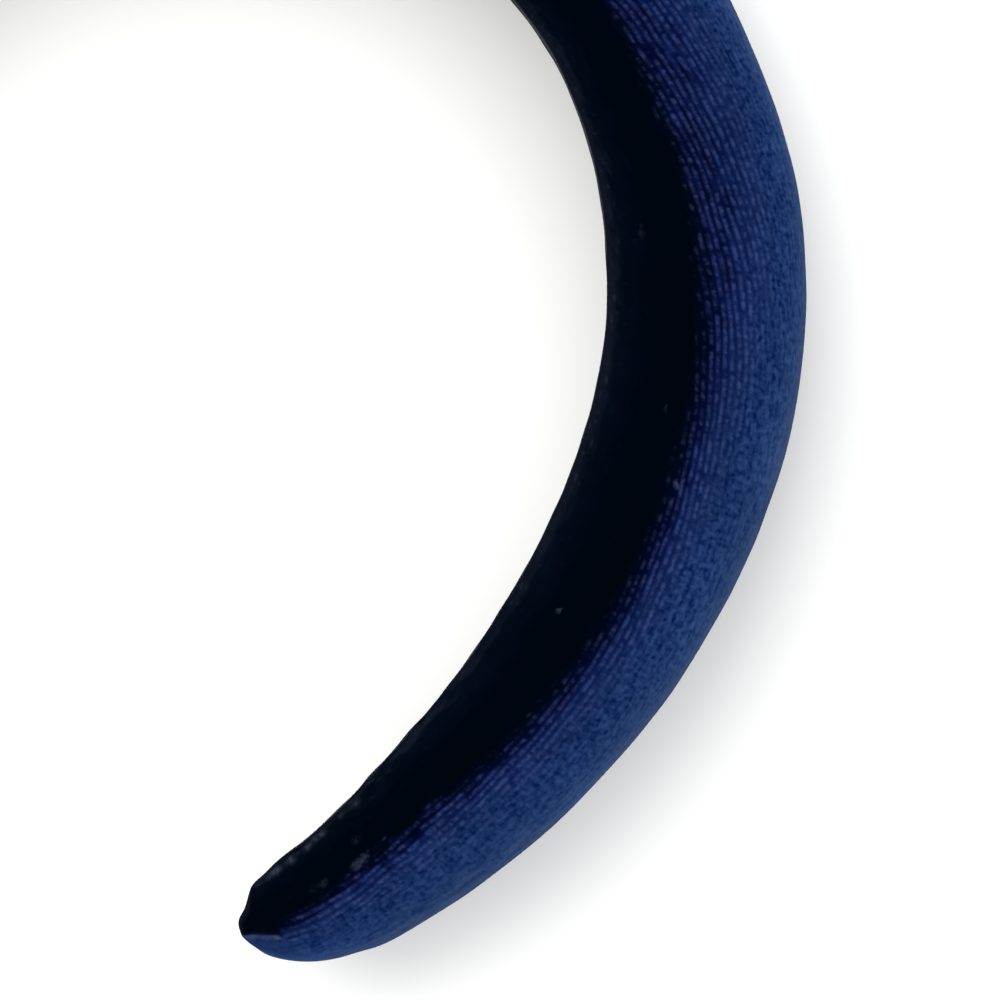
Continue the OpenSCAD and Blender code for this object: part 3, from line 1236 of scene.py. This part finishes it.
class OBJECT_OT_photo_stage(bpy.types.Operator):
    """Adds the pale floor, the soft light and the camera"""

    bl_idname = "object.photo_stage"
    bl_label = "Stage"

    def execute(self, context):
        scene = context.scene
        deselect_all()
        floor_size, below = 24, 0.2 * MM
        bpy.ops.mesh.primitive_plane_add(size=floor_size, location=(0, 0, -below))
        floor = context.object
        floor.name = "floor"
        bpy.ops.object.transform_apply(location=True, rotation=True, scale=True)
        material = new_material("matt white paper")
        shader = node(
            material.node_tree,
            "ShaderNodeBsdfPrincipled",
            {"Base Color": scene.headband.floor, "Roughness": 0.9, "Specular IOR Level": 0.1},
        )
        finish_material(material, floor, shader)

        world = bpy.data.worlds.new("soft room")
        world.use_nodes = True
        world.node_tree.nodes.clear()
        room = {"Color": linear("#ffffff"), "Strength": 1.25}
        sky = node(world.node_tree, "ShaderNodeBackground", room)
        node(world.node_tree, "ShaderNodeOutputWorld", {"Surface": sky}, out=None)
        scene.world = world

        # A wide soft box at the upper left, about 45 degrees up
        aim = Vector((0.03, 0.0, 0.0))
        towards = Vector((-0.5, 0.5, 0.7)).normalized()
        lamp_away = 1.6
        deselect_all()
        bpy.ops.object.light_add(type="AREA", location=aim + towards * lamp_away)
        lamp = context.object
        lamp.name = "soft_box"
        lamp.data.shape = "DISK"
        lamp.data.size = 2.4
        lamp.data.energy = 31.0
        lamp.rotation_euler = (-towards).to_track_quat("-Z", "Y").to_euler()
        lamp.visible_camera = False

        # The camera looks straight down on the right half of the band, a little below its centre
        # and slightly turned, from so far up that lines hardly converge
        view_right, view_below, view_width = 45.206, 25.265, 129.03
        centre = Vector((view_right, CENTRE_Y - view_below, MID_Z)) * MM
        away = 3.0
        turned = math.radians(4.698)
        deselect_all()
        bpy.ops.object.camera_add(location=centre + Vector((0, 0, away)), rotation=(0, 0, turned))
        camera = context.object
        camera.name = "photo_camera"
        camera.data.sensor_width = 36
        camera.data.lens = camera.data.sensor_width * away / (view_width * MM)
        camera.data.clip_start, camera.data.clip_end = 0.1, 20
        camera.data.dof.use_dof = False
        scene.camera = camera
        scene.view_settings.view_transform = "Standard"
        return {"FINISHED"}


class VIEW3D_PT_headband(bpy.types.Panel):
    """Lists the pieces in the order in which they are made"""

    bl_label = "Padded headband"
    bl_idname = "VIEW3D_PT_headband"
    bl_space_type = "VIEW_3D"
    bl_region_type = "UI"
    bl_category = "Headband"

    def draw(self, context):
        settings = context.scene.headband
        column = self.layout.column()
        for name in HeadbandSettings.__annotations__:
            column.prop(settings, name)
        for operator in OPERATORS:
            column.operator(operator.bl_idname)


OPERATORS = (OBJECT_OT_velvet_cover, OBJECT_OT_ribbon_facing, OBJECT_OT_photo_stage)
CLASSES = (HeadbandSettings, *OPERATORS, VIEW3D_PT_headband)


def register():
    for made in CLASSES:
        bpy.utils.register_class(made)
    bpy.types.Scene.headband = bpy.props.PointerProperty(type=HeadbandSettings)


def unregister():
    del bpy.types.Scene.headband
    for made in reversed(CLASSES):
        bpy.utils.unregister_class(made)


def main():
    register()
    bpy.ops.object.velvet_cover()
    bpy.ops.object.ribbon_facing()
    bpy.ops.object.photo_stage()


if __name__ == "__main__":
    main()
